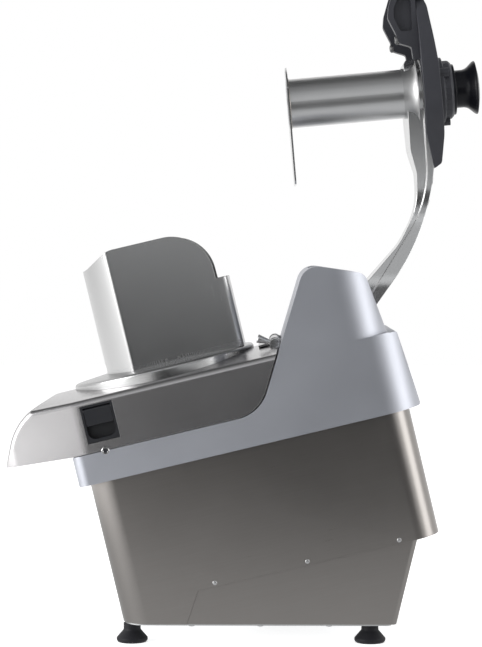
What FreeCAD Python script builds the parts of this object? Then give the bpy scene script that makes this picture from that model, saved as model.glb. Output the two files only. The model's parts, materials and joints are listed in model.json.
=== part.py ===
import FreeCAD, Part
import math
import os

# Vegetable cutting machine, in millimetres.
# The upper machine leans back: its pieces are drawn in a tilted frame whose origin is where the
# drive axis crosses the seam between the body casting and the cover. In that frame x runs to the
# side, y up the slope towards the rear, and z along the drive axis. The stand is drawn level.

V = FreeCAD.Vector

# Frame
tilt = 13.5
seat_y = -79.3
seat_z = 245.5
sheet = 1.5

# Stand
stand_height = 24.0
plate_thickness = 2.0
foot_radius = 18.2
foot_neck = 10.0
foot_x = 95.0
foot_front_y = -130.0
foot_rear_y = 148.0
stud_radius = 4.0

# Motor casing
casing_half = 119.0
casing_front = -111.0
casing_rear = 272.0
casing_top = -27.0
casing_corner = 30.0
seam_low = (-38.0, -218.6)
seam_knee = (-16.0, -183.5)
seam_rear = (245.0, -184.7)
stand_rear_foot = 198.4
flange_width = 14.0
seam_step = 1.5

# Body casting
casting_half = 126.0
casting_front = -122.0
casting_rear = 286.5
casting_skirt = -35.0
casting_wall = 5.0
casting_corner = 48.0
ledge_height = 55.5
ledge_rear = 277.6
tower_rear_low = 267.4
tower_back_corner = (257.0, 129.0)
tower_top_corner = (191.7, 155.2)
sweep_corner = 102.4
sweep_radius = 45.0
chamber_radius = 107.0
well_half = 54.0
well_front = 202.0
well_floor = 62.0
well_lip_z = 143.3
well_lip_slope = 1.03

# Cover and hopper
cover_gap = 0.8
cover_top = 71.5
cover_sheet = 2.0
cover_edge = 7.0
nose_tip = -201.6
nose_half = 109.0
nose_bend = -105.0
nose_radius = 71.0
cover_crown = 860.0
hinge_y = 137.0
hinge_z = 72.5
hinge_pin_radius = 3.5
hinge_recess = 7.0
knuckle_radius = 6.0
cover_opening = 103.0
ring_radius = 110.8
hopper_half = 80.0
hopper_front = -69.0
hopper_bend = -32.0
hopper_front_radius = 105.0
hopper_rear = 101.0
hopper_rear_half = 50.0
hopper_top = 224.5
hopper_front_top = 207.5
hopper_rear_top = 163.0

# Catches
catch_y = -80.0
catch_low = 11.5
catch_high = 55.5
catch_half_width = 19.0
catch_depth = 13.0
paddle_pivot_x = 122.8
paddle_pivot_z = 49.5
latch_pin_y = -81.5
latch_pin_radius = 4.5
latch_shank = 3.0

# Cutting set and drive
disc_radius = 102.5
disc_height = 52.0
disc_thickness = 3.0
shaft_radius = 10.0
bearing_outer = 23.5
bearing_width = 14.0
pulley_radius = 75.0
pulley_low = -72.0
pulley_width = 14.0
motor_y = 160.0
motor_radius = 66.0
motor_pulley_radius = 19.0
belt_thickness = 3.0
belt_clearance = 0.3

# Lever, drawn lowered and then swung up to the open rest position
pivot_y = 222.0
pivot_z = 106.5
lever_swing = 98.5
pivot_shaft_radius = 8.0
ring_x = 84.7
hub_radius = 17.0
hub_half = 50.0
rim_top = 236.5
rim_low = 225.5
arm_front = -62.0
arm_bend = 132.8
arm_slope = 0.843
arm_root = 241.5
rim_bend = 115.8
rim_slope = 0.755
rim_step = 8.0
bowl_low = 207.3
tube_x = 30.0
tube_y = -13.0
tube_radius = 29.0
tube_wall = 1.5
pusher_height = 67.4
pusher_thickness = 2.0
pusher_gap = 8.0
pusher_front = -56.0
pusher_rear = 83.0
pusher_reach = 92.0
head_top = 247.0
pestle_radius = 26.9
pestle_top = 294.5
screw_x = 51.0
screw_y = -75.0
screw_seat = 203.5

# Cord gland
gland_x = -62.0
gland_y = 112.0
gland_bore = 4.5

# Controls
button_z = -95.0
button_x = 17.0
button_radius = 9.0


def corner(before, here, after):
    """Start, middle and end of the arc that rounds one corner of an outline."""
    point = V(here[0], here[1], 0)
    radius = here[2] if len(here) > 2 else 0
    if radius == 0:
        return point, None, point
    back = (V(before[0], before[1], 0) - point).normalize()
    ahead = (V(after[0], after[1], 0) - point).normalize()
    half = back.getAngle(ahead) / 2
    reach = radius / math.tan(half)
    bisector = (back + ahead).normalize()
    centre = point + bisector * (radius / math.sin(half))
    return point + back * reach, centre - bisector * radius, point + ahead * reach


def outline(corners, place):
    """Face inside a closed outline of corners (a, b, rounding radius)."""
    count = len(corners)
    arcs = [corner(corners[i - 1], corners[i], corners[(i + 1) % count]) for i in range(count)]
    edges = []
    for i, (start, middle, end) in enumerate(arcs):
        if middle is not None:
            edges.append(Part.Arc(place(start), place(middle), place(end)).toShape())
        following = arcs[(i + 1) % count][0]
        if (following - end).Length > 1e-5:
            edges.append(Part.makeLine(place(end), place(following)))
    return Part.Face(Part.Wire(edges))


def side_prism(corners, x_low, x_high, inset=0):
    """Side outline of (y, z) corners, run across the machine."""
    face = outline(corners, lambda p: V(x_low, p.x, p.y))
    if inset:
        face = face.makeOffset2D(-inset, join=2)
    return face.extrude(V(x_high - x_low, 0, 0))


def plan_prism(corners, z_low, z_high, inset=0):
    """Plan outline of (x, y) corners, run upwards."""
    face = outline(corners, lambda p: V(p.x, p.y, z_low))
    if inset:
        face = face.makeOffset2D(-inset, join=2)
    return face.extrude(V(0, 0, z_high - z_low))


def turned(corners, centre=(0, 0)):
    """Round piece from a half outline of (radius, z) corners about an upright axis."""
    face = outline(corners, lambda p: V(p.x, 0, p.y))
    solid = face.revolve(V(0, 0, 0), V(0, 0, 1), 360)
    solid.translate(V(centre[0], centre[1], 0))
    return solid


def rod(radius, z_low, z_high, x=0, y=0):
    """Upright cylinder."""
    return Part.makeCylinder(radius, z_high - z_low, V(x, y, z_low))


def hexagon(radius, z_low, z_high, x=0, y=0):
    """Upright six-sided block."""
    points = []
    for step in range(7):
        angle = step * math.pi / 3
        points.append(V(x + radius * math.cos(angle), y + radius * math.sin(angle), z_low))
    return Part.Face(Part.makePolygon(points)).extrude(V(0, 0, z_high - z_low))


def cross_rod(radius, x_low, x_high, y, z):
    """Cylinder that lies across the machine."""
    return Part.makeCylinder(radius, x_high - x_low, V(x_low, y, z), V(1, 0, 0))


def box(x_low, x_high, y_low, y_high, z_low, z_high):
    """Block between two corners."""
    return Part.makeBox(x_high - x_low, y_high - y_low, z_high - z_low, V(x_low, y_low, z_low))


def mirrored(shape):
    """Copy on the other side of the machine."""
    return shape.mirror(V(0, 0, 0), V(1, 0, 0))


def joined(shapes):
    """One solid from pieces that meet."""
    return shapes[0].multiFuse(shapes[1:]).removeSplitter()


def rounded_edges(shape, radius, wanted):
    """Round the edges whose middle point and direction pass a test."""
    edges = []
    for edge in shape.Edges:
        middle = (edge.FirstParameter + edge.LastParameter) / 2
        point = edge.valueAt(middle)
        direction = edge.tangentAt(middle)
        if wanted(point, direction):
            edges.append(edge)
    return shape.makeFillet(radius, edges)


def level(y, height):
    """Height in the tilted frame, at a distance up the slope, of a level plane of the stand."""
    angle = math.radians(tilt)
    return (height - seat_z - y * math.sin(angle)) / math.cos(angle)


def tilted(shape):
    """Move a piece from the tilted frame to the machine's frame."""
    placed = shape.copy()
    placed.rotate(V(0, 0, 0), V(1, 0, 0), tilt)
    placed.translate(V(0, seat_y, seat_z))
    return placed


def raised(shape):
    """Swing a lever piece up about the pivot shaft, then place it."""
    placed = shape.copy()
    placed.rotate(V(0, pivot_y, pivot_z), V(1, 0, 0), -lever_swing)
    return tilted(placed)


# Stand and casing

def foot(x, y):
    """Rubber foot that flares to a round pad."""
    profile = [(0, 0), (foot_radius - 1.5, 0, 1), (foot_radius, 2.5, 1.5), (foot_radius, 5, 1.5),
               (foot_neck, 14.5, 4), (foot_neck, stand_height - plate_thickness), (0, stand_height - plate_thickness)]
    return turned(profile, (x, y)).cut(rod(stud_radius, 8, stand_height, x, y))


def foot_places():
    return [(side * foot_x, y) for y in (foot_front_y, foot_rear_y) for side in (-1, 1)]


def foot_bolts():
    """Studs of the feet with their nuts above the base plate."""
    bolts = []
    for x, y in foot_places():
        stud = rod(stud_radius, 8, stand_height + 9, x, y)
        bolts.append(joined([stud, hexagon(7.5, stand_height, stand_height + 6.5, x, y)]))
    return Part.makeCompound(bolts)


def base_plate():
    """Flat plate that closes the stand, with vent slots under the motor."""
    front = -138.5
    rear = 172.0
    half = 114.5
    rect = [(-half, front, 26), (half, front, 26), (half, rear, 5), (-half, rear, 5)]
    plate = plan_prism(rect, stand_height - plate_thickness, stand_height)
    cuts = [rod(stud_radius + 0.3, 0, 40, x, y) for x, y in foot_places()]
    for row in range(7):
        y = 20 + row * 13
        slot = [(-45, y, 2.4), (45, y, 2.4), (45, y + 5, 2.4), (-45, y + 5, 2.4)]
        cuts.append(plan_prism(slot, 0, 40))
    cuts.append(rod(8.2, 0, 40, gland_x, gland_y))
    return plate.cut(cuts)


def casing_side():
    """Side outline of the casing above its seam with the stand."""
    return [(casing_front, casing_top), (casing_rear, casing_top), (casing_rear, seam_rear[1]),
            seam_knee, seam_low, (casing_front, level(casing_front, stand_height))]


def casing_plan():
    return [(-casing_half, casing_front, casing_corner), (casing_half, casing_front, casing_corner),
            (casing_half, casing_rear, casing_corner), (-casing_half, casing_rear, casing_corner)]


def casing():
    """Bent sheet casing round the motor, open above and flanged below."""
    outside = side_prism(casing_side(), -130, 130).common(plan_prism(casing_plan(), -260, -20))
    room = [(casing_front, 0), (casing_rear, 0), (casing_rear, seam_rear[1] + sheet),
            (seam_knee[0] - 1, seam_knee[1] + sheet), (seam_low[0] - 1, seam_low[1] + sheet),
            (casing_front, level(casing_front, stand_height) + sheet)]
    inside = side_prism(room, -130, 130).common(plan_prism(casing_plan(), -260, 0, inset=sheet))
    window = plan_prism(casing_plan(), -260, 0, inset=flange_width)
    shell = outside.cut([inside, window])
    holes = [Part.makeCylinder(button_radius + 0.5, 10, V(side * button_x, casing_front - 5, button_z), V(0, 1, 0))
             for side in (-1, 1)]
    rivets = [cross_rod(1.6, -130, 130, y, z) for y, z in rivet_places()]
    return shell.cut(holes + rivets)


def motor_casing():
    """Casing set level on the stand, with its flange cleared round the nuts of the feet."""
    return tilted(casing()).cut([rod(9, stand_height - 1, stand_height + 12, x, y) for x, y in foot_places()])


def rivet_places():
    """Three places along the seam, just above it."""
    rise = (seam_rear[1] - seam_knee[1]) / (seam_rear[0] - seam_knee[0])
    return [(y, seam_knee[1] + rise * (y - seam_knee[0]) + 4.5) for y in (5, 115, 224)]


def seam_rivets():
    """Small dome rivets on both sides of the casing."""
    rivets = []
    for y, z in rivet_places():
        for side in (-1, 1):
            shank = Part.makeCylinder(1.6, 5, V(side * (casing_half + 0.2), y, z), V(-side, 0, 0))
            head = Part.makeCone(2.6, 1.6, 0.7, V(side * (casing_half + 0.05), y, z), V(side, 0, 0))
            rivets.append(joined([shank, head]))
    return Part.makeCompound(rivets)


def stand_shell():
    """Lower wedge of bent sheet that carries the casing level on its feet."""
    half = casing_half - seam_step

    def wedge(inset):
        side = [seam_low, seam_knee, seam_rear, (stand_rear_foot, level(stand_rear_foot, stand_height))]
        solid = side_prism(side, -half + inset, half - inset, inset)
        return rounded_edges(solid, 6 - inset, lambda p, d: p.y > 200 and abs(d.x) < 0.1 and abs(d.z) > 0.5)

    opening_top = side_prism([(0, -170), (225, -170), (225, -195), (0, -195)], -half + flange_width,
                             half - flange_width)
    opening_base = side_prism([(-22, level(-22, stand_height + 20)), (188, level(188, stand_height + 20)),
                               (188, level(188, 0)), (-22, level(-22, 0))], -half + flange_width,
                              half - flange_width)
    opening_front = side_prism([(-60, -230), (-60, -190), (20, -190), (20, -225)], -half + flange_width,
                               half - flange_width)
    return wedge(0).cut([wedge(sheet), opening_top, opening_base, opening_front])


# Body casting

def casting_side():
    """Side outline of the casting: band, ledge, tower and the sweep down to the seam."""
    return [(casting_front, casting_skirt, 1.5), (casting_rear, casting_skirt, 2.5),
            (ledge_rear, ledge_height, 3), (tower_rear_low, ledge_height, 2),
            (tower_back_corner[0], tower_back_corner[1], 14), (tower_top_corner[0], tower_top_corner[1], 21),
            (sweep_corner, 0, sweep_radius), (casting_front, 0, 2.5)]


def casting_plan(rear, front_corner=14):
    return [(-casting_half, casting_front, front_corner), (casting_half, casting_front, front_corner),
            (casting_half, rear, casting_corner), (-casting_half, rear, casting_corner)]


def casting_form(inset):
    """Whole form of the casting, or the room inside it when inset."""
    side = side_prism(casting_side(), -140, 140, inset)
    low = plan_prism(casting_plan(casting_rear), casting_skirt - 1, ledge_height + 1 - inset, inset)
    high = plan_prism(casting_plan(tower_rear_low), casting_skirt - 1, 200, inset)
    return side.common(low.fuse(high))


def body_casting():
    """Hollow aluminium casting with the chamber floor, lever well and shaft bosses."""
    whole = casting_form(0)
    room = casting_form(casting_wall)
    mouth = plan_prism([(-casing_half - 0.4, casing_front - 0.4, casing_corner),
                        (casing_half + 0.4, casing_front - 0.4, casing_corner),
                        (casing_half + 0.4, casing_rear + 0.4, casing_corner),
                        (-casing_half - 0.4, casing_rear + 0.4, casing_corner)],
                       casting_skirt - 5, casting_skirt + casting_wall + 5)
    well = side_prism([(well_front - 6, well_floor - 5), (320, well_floor - 5), (320, 200),
                       (well_front - 6, 200)], -well_half - 8, well_half + 8).common(whole)
    body = whole.cut([room, mouth]).fuse(well)
    bosses = [cross_rod(18, side * 72 - 10, side * 72 + 10, pivot_y, pivot_z) for side in (-1, 1)]
    body = body.multiFuse(bosses)
    lip_front = well_front - (200 - well_lip_z) / well_lip_slope
    cuts = [side_prism([(well_front, well_floor, 6), (320, well_floor), (320, 200), (lip_front, 200),
                        (well_front, well_lip_z)], -well_half, well_half)]
    cuts.append(cross_rod(pivot_shaft_radius, -90, 90, pivot_y, pivot_z))
    cuts.append(turned([(0, 0.2), (chamber_radius, 0.2), (chamber_radius, 90), (0, 90)]))
    cuts.append(rod(34, -10, 10))
    cuts.append(cross_rod(hinge_recess, -84, 84, hinge_y, hinge_z))
    for side in (-1, 1):
        cuts.append(hinge_lug(side))
        cuts.append(cross_rod(latch_pin_radius, side * 122.8 - 4.2, side * 122.8 + 4.2, latch_pin_y, 0))
        cuts.append(box(side * 113 - 7, side * 113 + 7, latch_pin_y - 13, latch_pin_y + 17, -9, 3))
    return body.cut(cuts).removeSplitter()


def side_pins():
    """Latch pins on the seam, one each side, with a head flush with the casting."""
    pins = []
    for side in (-1, 1):
        middle = side * 122.6
        head = cross_rod(latch_pin_radius, middle - 4, middle + 4, latch_pin_y, 0)
        shank = cross_rod(latch_shank, side * 113.1 - 6, side * 113.1 + 6, latch_pin_y, 0)
        pins.append(joined([head, shank]))
    return Part.makeCompound(pins)


def hinge_lug(side):
    """Round lug of the hinge with a foot let into the face of the tower."""
    middle = side * 55
    eye = cross_rod(hinge_recess, middle - 5, middle + 5, hinge_y, hinge_z)
    block = side_prism([(hinge_y - 3.2, hinge_z - 5.6), (hinge_y + 3.2, hinge_z + 5.6),
                        (hinge_y + 11.9, hinge_z + 0.6), (hinge_y + 5.4, hinge_z - 10.6)], middle - 5, middle + 5)
    return joined([eye, block])


def hinge_bracket():
    """Two lugs that hold the cover's hinge pin."""
    pin = cross_rod(hinge_pin_radius, -90, 90, hinge_y, hinge_z)
    return Part.makeCompound([hinge_lug(side).cut(pin) for side in (-1, 1)])


def hinge_pin():
    return cross_rod(hinge_pin_radius, -60, 82, hinge_y, hinge_z)


def pivot_shaft():
    """Shaft that the lever turns on, with a groove near each end for its retaining ring."""
    shaft = cross_rod(pivot_shaft_radius, -88, 88, pivot_y, pivot_z)
    grooves = [ring_across(pivot_shaft_radius + 1, pivot_shaft_radius - 0.8, side * ring_x, 1.4, pivot_y, pivot_z)
               for side in (-1, 1)]
    return shaft.cut(grooves)


def ring_across(outer, inner, middle, width, y, z):
    """Flat ring about an axis across the machine."""
    return cross_rod(outer, middle - width / 2, middle + width / 2, y, z).cut(
        cross_rod(inner, middle - width, middle + width, y, z))


def retaining_rings():
    """Open spring rings in the grooves of the pivot shaft."""
    rings = []
    for side in (-1, 1):
        middle = side * ring_x
        ring = ring_across(pivot_shaft_radius + 3.5, pivot_shaft_radius - 0.8, middle, 1.2, pivot_y, pivot_z)
        gap = box(middle - 2, middle + 2, pivot_y - 3, pivot_y + 3, pivot_z, pivot_z + 20)
        rings.append(ring.cut(gap))
    return Part.makeCompound(rings)


def lever_stop_buffers():
    """Rubber buffers in the well that the raised lever rests on."""
    buffers = []
    for side in (-1, 1):
        buffers.append(turned([(0, well_floor), (9, well_floor, 1), (7, 79.5, 3), (0, 79.5)], (side * 26, 250)))
    return Part.makeCompound(buffers)


def safety_switch():
    """Sensor block behind the chamber wall that a magnet of the lever works."""
    block = box(66, 92, 176, 190, 60, 96)
    return rounded_edges(block, 2, lambda p, d: abs(d.z) > 0.9)


# Cover

def cover_side(inset, reach):
    """Side outline of the cover, inset from its skin and run past its open underside."""
    top = cover_top - inset
    slope = 0.5766
    rear_top = sweep_corner + slope * top - 2.4 + reach
    low = cover_gap - reach
    rear_corner = sweep_corner + slope * low - 1.6 + reach
    tip_low = cover_gap + 5 - reach
    lean = 0.478
    tip = nose_tip + inset * 1.1 - lean * reach
    bend = nose_tip + inset * 1.1 + lean * (top - cover_gap - 5)
    return [(tip, tip_low), (bend, top, nose_radius - inset), (rear_top, top), (rear_corner, low, sweep_radius + 1),
            (-122.0, low)]


def cover_plan(inset):
    side = casting_half - inset
    front = nose_tip + inset - 4
    return [(side, 170), (side, nose_bend, 60), (nose_half - inset, front, 26), (-nose_half + inset, front, 26),
            (-side, nose_bend, 60), (-side, 170)]


def cover_form(inset, reach):
    """Form of the cover with its long upper edges rounded."""
    top = cover_top - inset
    crown = Part.makeCylinder(cover_crown - inset, 400, V(0, -230, top - cover_crown + inset), V(0, 1, 0))
    solid = side_prism(cover_side(inset, reach), -140, 140).common(plan_prism(cover_plan(inset), -20, 100))
    solid = solid.common(crown)

    def upper_edge(point, direction):
        on_side = abs(direction.z) < 0.95 and abs(direction.x) < 0.95
        return on_side and abs(point.x) > 60 and (point.z > top - 12 or (point.y < nose_tip + 75 and point.z > 12))

    return rounded_edges(solid, cover_edge - inset, upper_edge)


def front_cover():
    """Stainless cover over the cutting chamber, open below and at the discharge nose."""
    shell = cover_form(0, 0).cut(cover_form(cover_sheet, 8))
    cuts = [rod(cover_opening, 60, 90), cross_rod(knuckle_radius, -50, 50, hinge_y, hinge_z),
            cross_rod(knuckle_radius + 0.7, 50, 82, hinge_y, hinge_z)]
    for side in (-1, 1):
        cuts.append(box(side * 55.2 - 5.8, side * 55.2 + 5.8, hinge_y - 9, hinge_y + 20, hinge_z - 9.5, 90))
        cuts.append(cross_rod(latch_pin_radius + 0.6, side * 126 - 8, side * 126 + 8, latch_pin_y, 0))
        cuts.append(box(side * 126 - 9, side * 126 + 9, catch_y - catch_half_width, catch_y + catch_half_width,
                        catch_low, catch_high))
    return shell.cut(cuts)


def hinge_strap():
    """Knuckle tube on a strap, welded to the rear lip of the cover."""
    knuckle = cross_rod(knuckle_radius, -49.5, 49.5, hinge_y, hinge_z)
    strap = side_prism([(117, cover_top), (117, cover_top + 2), (hinge_y - 3, cover_top + 3), (hinge_y, hinge_z),
                        (hinge_y - 2, cover_top)], -49.5, 49.5)
    return joined([knuckle, strap]).cut(cross_rod(hinge_pin_radius + 0.05, -60, 60, hinge_y, hinge_z))


def hopper_prism(inset, z_low, z_high):
    """Column inside the hopper's plan: bowed front, flat sides that close in, flat rear."""
    lead = (hopper_half - hopper_rear_half) / (hopper_rear - hopper_bend) * 60
    sides = [(-hopper_half - lead, hopper_bend - 60), (hopper_half + lead, hopper_bend - 60),
             (hopper_rear_half, hopper_rear, 9), (-hopper_rear_half, hopper_rear, 9)]
    column = plan_prism(sides, z_low, z_high, inset)
    bow = rod(hopper_front_radius - inset, z_low, z_high, 0, hopper_front + hopper_front_radius)
    column = column.common(bow)
    return rounded_edges(column, max(5 - inset, 1), lambda p, d: abs(d.z) > 0.9 and p.y < hopper_bend + 20)


def feed_hopper():
    """Raised ring on the cover with the tall feed hopper that stands on it."""
    cap = turned([(0, 82.5), (60, 82.5, 200), (ring_radius, 77.5, 4), (ring_radius, 60),
                  (ring_radius - cover_sheet, 60), (ring_radius - cover_sheet, 75, 2.5), (60, 80.4, 198),
                  (0, 80.4)]).cut(cover_form(0, 0))
    column = hopper_prism(0, 78, 240)
    trim = [(-130, 60), (-130, hopper_front_top), (-63, hopper_front_top, 26), (-29, hopper_top, 26),
            (85, hopper_top, 50), (86.5, hopper_rear_top), (130, hopper_rear_top), (130, 60)]
    walls = column.common(side_prism(trim, -100, 100))
    return cap.fuse(walls).cut(hopper_prism(sheet, 60, 260)).removeSplitter()


def release_lever():
    """Short flared lever on the end of the hinge pin that frees the cover."""
    collar = cross_rod(5.8, 63, 79, hinge_y, hinge_z)
    horn = turned([(0, 0), (2.9, 0), (2.9, 8, 20), (5.4, 21.5, 1), (0, 21.5)])
    horn.rotate(V(0, 0, 0), V(1, 0, 0), 60)
    horn.translate(V(71, hinge_y, hinge_z))
    lever = joined([collar, horn])
    return lever.cut(cross_rod(hinge_pin_radius + 0.05, 50, 90, hinge_y, hinge_z))


def catch_frame():
    """Black tray set flush in the cover's side, with an oval finger pocket."""
    outer = box(126.2 - catch_depth, 126.2, catch_y - catch_half_width + 0.2, catch_y + catch_half_width - 0.2,
                catch_low + 0.2, catch_high - 0.2)
    upper = box(126.2 - 8, 130, catch_y - 16.5, catch_y + 16.5, 33, 53)
    oval = outline([(catch_y - 16.5, 15.5, 9), (catch_y + 16.5, 15.5, 9), (catch_y + 16.5, 35), (catch_y - 16.5, 35)],
                   lambda p: V(126.2 - catch_depth + 2, p.x, p.y)).extrude(V(20, 0, 0))
    return outer.cut([upper, oval, catch_pin()])


def catch_paddle():
    """Flap of the catch with a turned-in grip lip at its lower edge."""
    knuckle = Part.makeCylinder(2.8, 32, V(paddle_pivot_x, catch_y - 16, paddle_pivot_z), V(0, 1, 0))
    section = outline([(paddle_pivot_x - 1, paddle_pivot_z), (paddle_pivot_x + 2.8, paddle_pivot_z),
                       (125.8, 31.5, 1.2), (120, 31, 1), (120, 33.5, 0.6), (122.4, 34.5, 1)],
                      lambda p: V(p.x, catch_y - 16, p.y)).extrude(V(0, 32, 0))
    bore = Part.makeCylinder(1.45, 60, V(paddle_pivot_x, catch_y - 30, paddle_pivot_z), V(0, 1, 0))
    return joined([knuckle, section]).cut(bore)


def catch_pin():
    return Part.makeCylinder(1.4, 36, V(paddle_pivot_x, catch_y - 18, paddle_pivot_z), V(0, 1, 0))


def both_sides(piece):
    """The piece and its mirror image as one group."""
    return Part.makeCompound([piece, mirrored(piece)])


def catch_fork():
    """Spring fork inside the cover that snaps over the latch pin."""
    outer = [(latch_pin_y - 9, -2, 2), (latch_pin_y - 9, 11, 3), (latch_pin_y + 12, 11, 3), (latch_pin_y + 12, -2, 2)]
    plate = side_prism(outer, 109, 113)
    foot_pad = box(109, 116, latch_pin_y - 9, latch_pin_y + 12, 9, 11)
    lean = 0.335 * 12
    slot = side_prism([(latch_pin_y - 3.3, 0), (latch_pin_y + 3.3, 0), (latch_pin_y + 3.5 + lean, -12),
                       (latch_pin_y - 3.3, -12)], 100, 120)
    return joined([plate, foot_pad]).cut([slot, cross_rod(latch_shank + 0.3, 100, 120, latch_pin_y, 0)])


# Cutting set and drive

def drive_shaft():
    """Stepped shaft from the large pulley up to the disc seat, with a driving cross pin."""
    shaft = turned([(0, pulley_low - 6), (7, pulley_low - 6, 1), (7, pulley_low - 0.5),
                    (shaft_radius, pulley_low - 0.5), (shaft_radius, disc_height - 2.5), (6, disc_height - 2.5),
                    (6, 64.5, 1), (0, 64.5)])
    cross_pin = cross_rod(2.5, -15, 15, 0, 15)
    return joined([shaft, cross_pin])


def bearings():
    """Two sealed ball bearings, each an outer and an inner ring with a seal recess."""
    rings = []
    for low in (-50.0, -17.0):
        high = low + bearing_width
        rings.append(turned([(shaft_radius + 0.03, low, 0.6), (bearing_outer, low, 0.6), (bearing_outer, high, 0.6),
                             (19.5, high), (19, high - 0.8), (14.5, high - 0.8), (14, high),
                             (shaft_radius + 0.03, high, 0.6)]))
    return Part.makeCompound(rings)


def bearing_housing():
    """Flanged housing under the chamber floor, with ribs between flange and tube."""
    body = turned([(bearing_outer, -54), (30, -54, 2), (30, -16, 6), (48, -12, 2), (48, -5), (33.8, -5),
                   (33.8, 3.5, 1.5), (bearing_outer, 3.5)])
    shelf = turned([(20, -34), (bearing_outer + 1, -34), (bearing_outer + 1, -19), (20, -19)])
    ribs = []
    for turn in range(6):
        rib = side_prism([(29, -46), (45, -13), (29, -13)], -2, 2)
        rib.rotate(V(0, 0, 0), V(0, 0, 1), 60 * turn + 30)
        ribs.append(rib)
    return joined([body, shelf] + ribs)


def shaft_seal():
    """Lip seal above the upper bearing."""
    return turned([(shaft_radius + 0.05, -1.5, 0.4), (22.8, -1.5), (22.8, 3), (14, 3), (12, 6, 0.8),
                   (shaft_radius + 0.05, 5.5)])


def ribbed_pulley(radius, bore, low, width, grooves, web):
    """Belt pulley with V grooves in its rim and a thinner web where it is large."""
    pitch = width / (grooves + 0.5)
    rim = [(bore, low), (radius, low)]
    for groove in range(grooves):
        middle = low + pitch * (groove + 0.75)
        rim += [(radius, middle - pitch * 0.35), (radius - pitch * 0.7, middle), (radius, middle + pitch * 0.35)]
    rim += [(radius, low + width), (bore, low + width)]
    pulley = turned(rim)
    if web:
        for face in (low, low + width - 4):
            pulley = pulley.cut(turned([(22, face - 0.5), (radius - 9, face - 0.5), (radius - 9, face + 4.5),
                                        (22, face + 4.5)]))
        holes = [rod(12, low - 1, low + width + 1, 44 * math.cos(a), 44 * math.sin(a))
                 for a in [i * math.pi / 3 for i in range(6)]]
        pulley = pulley.cut(holes)
    return pulley


def drive_pulley():
    return ribbed_pulley(pulley_radius, shaft_radius, pulley_low, pulley_width, 5, True)


def motor_pulley():
    pulley = ribbed_pulley(motor_pulley_radius, 6, pulley_low, pulley_width, 5, False)
    pulley.translate(V(0, motor_y, 0))
    return pulley


def belt_loop(grow):
    """Plan of a loop round both pulleys, grown outwards."""
    large = pulley_radius + belt_clearance + grow
    small = motor_pulley_radius + belt_clearance + grow
    lean = math.asin((large - small) / motor_y)

    def place(radius, centre, angle):
        return V(radius * math.cos(angle), centre + radius * math.sin(angle), pulley_low + 0.5)

    large_right = place(large, 0, lean)
    large_left = place(large, 0, math.pi - lean)
    small_right = place(small, motor_y, lean)
    small_left = place(small, motor_y, math.pi - lean)
    edges = [Part.Arc(large_left, V(0, -large, pulley_low + 0.5), large_right).toShape(),
             Part.makeLine(large_right, small_right),
             Part.Arc(small_right, V(0, motor_y + small, pulley_low + 0.5), small_left).toShape(),
             Part.makeLine(small_left, large_left)]
    return Part.Face(Part.Wire(edges)).extrude(V(0, 0, pulley_width - 1))


def drive_belt():
    return belt_loop(belt_thickness).cut(belt_loop(0))


def motor_housing():
    """Motor body with cooling fins along it."""
    body = rod(motor_radius - 6, -166, -94, 0, motor_y)
    fins = []
    for turn in range(24):
        fin = box(-1.2, 1.2, motor_radius - 8, motor_radius, -162, -98)
        fin.rotate(V(0, 0, 0), V(0, 0, 1), 15 * turn)
        fin.translate(V(0, motor_y, 0))
        fins.append(fin)
    bore = rod(7, -170, -90, 0, motor_y)
    return joined([body] + fins).cut(bore)


def motor_end_bells():
    """End shields of the motor, the upper one bolted to the motor plate."""
    upper = turned([(7, -94), (motor_radius - 6, -94), (motor_radius - 6, -88, 4), (26, -81), (26, -79), (7, -79)],
                   (0, motor_y))
    lower = turned([(7, -166), (7, -171.5), (20, -171.5, 2), (motor_radius - 6, -168, 2), (motor_radius - 6, -166)],
                   (0, motor_y))
    return Part.makeCompound([upper, lower])


def motor_shaft():
    return turned([(0, -182), (5.5, -182, 0.6), (5.5, -169), (6.9, -169), (6.9, -76), (6, -76), (6, -56, 1), (0, -56)],
                  (0, motor_y))


def cooling_fan():
    """Fan with curved blades on the lower end of the motor shaft."""
    hub = rod(14, -181, -174)
    plate = rod(40, -175.5, -174)
    blades = []
    for turn in range(8):
        blade = box(-0.8, 0.8, 13, 50, -181, -174)
        blade.rotate(V(0, 13, 0), V(0, 0, 1), 18)
        blade.rotate(V(0, 0, 0), V(0, 0, 1), 45 * turn)
        blades.append(blade)
    fan = joined([hub, plate] + blades).cut(rod(5.5, -190, -170))
    fan.translate(V(0, motor_y, 0))
    return fan


def motor_plate():
    """Bent plate across the casing that the motor hangs from."""
    half = casing_half - sheet
    plate = box(-half, half, 92, 240, -79, -76)
    legs = [box(side * (half - 1.5) - 1.5, side * (half - 1.5) + 1.5, 92, 240, -100, -76) for side in (-1, 1)]
    bore = rod(20, -90, -60, 0, motor_y)
    slots = [box(side * 84 - 3, side * 84 + 3, 110, 210, -90, -60) for side in (-1, 1)]
    return joined([plate] + legs).cut([bore] + slots)


def capacitor():
    """Run capacitor in a clip on the casing floor flange."""
    can = Part.makeCylinder(20, 84, V(-42, -78, -160), V(1, 0, 0))
    terminals = [box(42, 50, -86 + 12 * i, -80 + 12 * i, -160.4, -159.6) for i in (0, 1)]
    return joined([can] + terminals)


def control_box():
    """Closed box behind the buttons for the contactor."""
    body = box(-52, 52, -97, -62, -138, -80)
    return rounded_edges(body, 4, lambda p, d: abs(d.y) > 0.9)


def button_bezel():
    """Thin frame round the two buttons on the casing front."""
    rect = [(-34, button_z - 15, 6), (34, button_z - 15, 6), (34, button_z + 15, 6), (-34, button_z + 15, 6)]
    plate = outline(rect, lambda p: V(p.x, casing_front - 1.2, p.y)).extrude(V(0, 1.2, 0))
    holes = [Part.makeCylinder(button_radius + 0.4, 10, V(side * button_x, casing_front - 5, button_z), V(0, 1, 0))
             for side in (-1, 1)]
    return plate.cut(holes)


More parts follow.
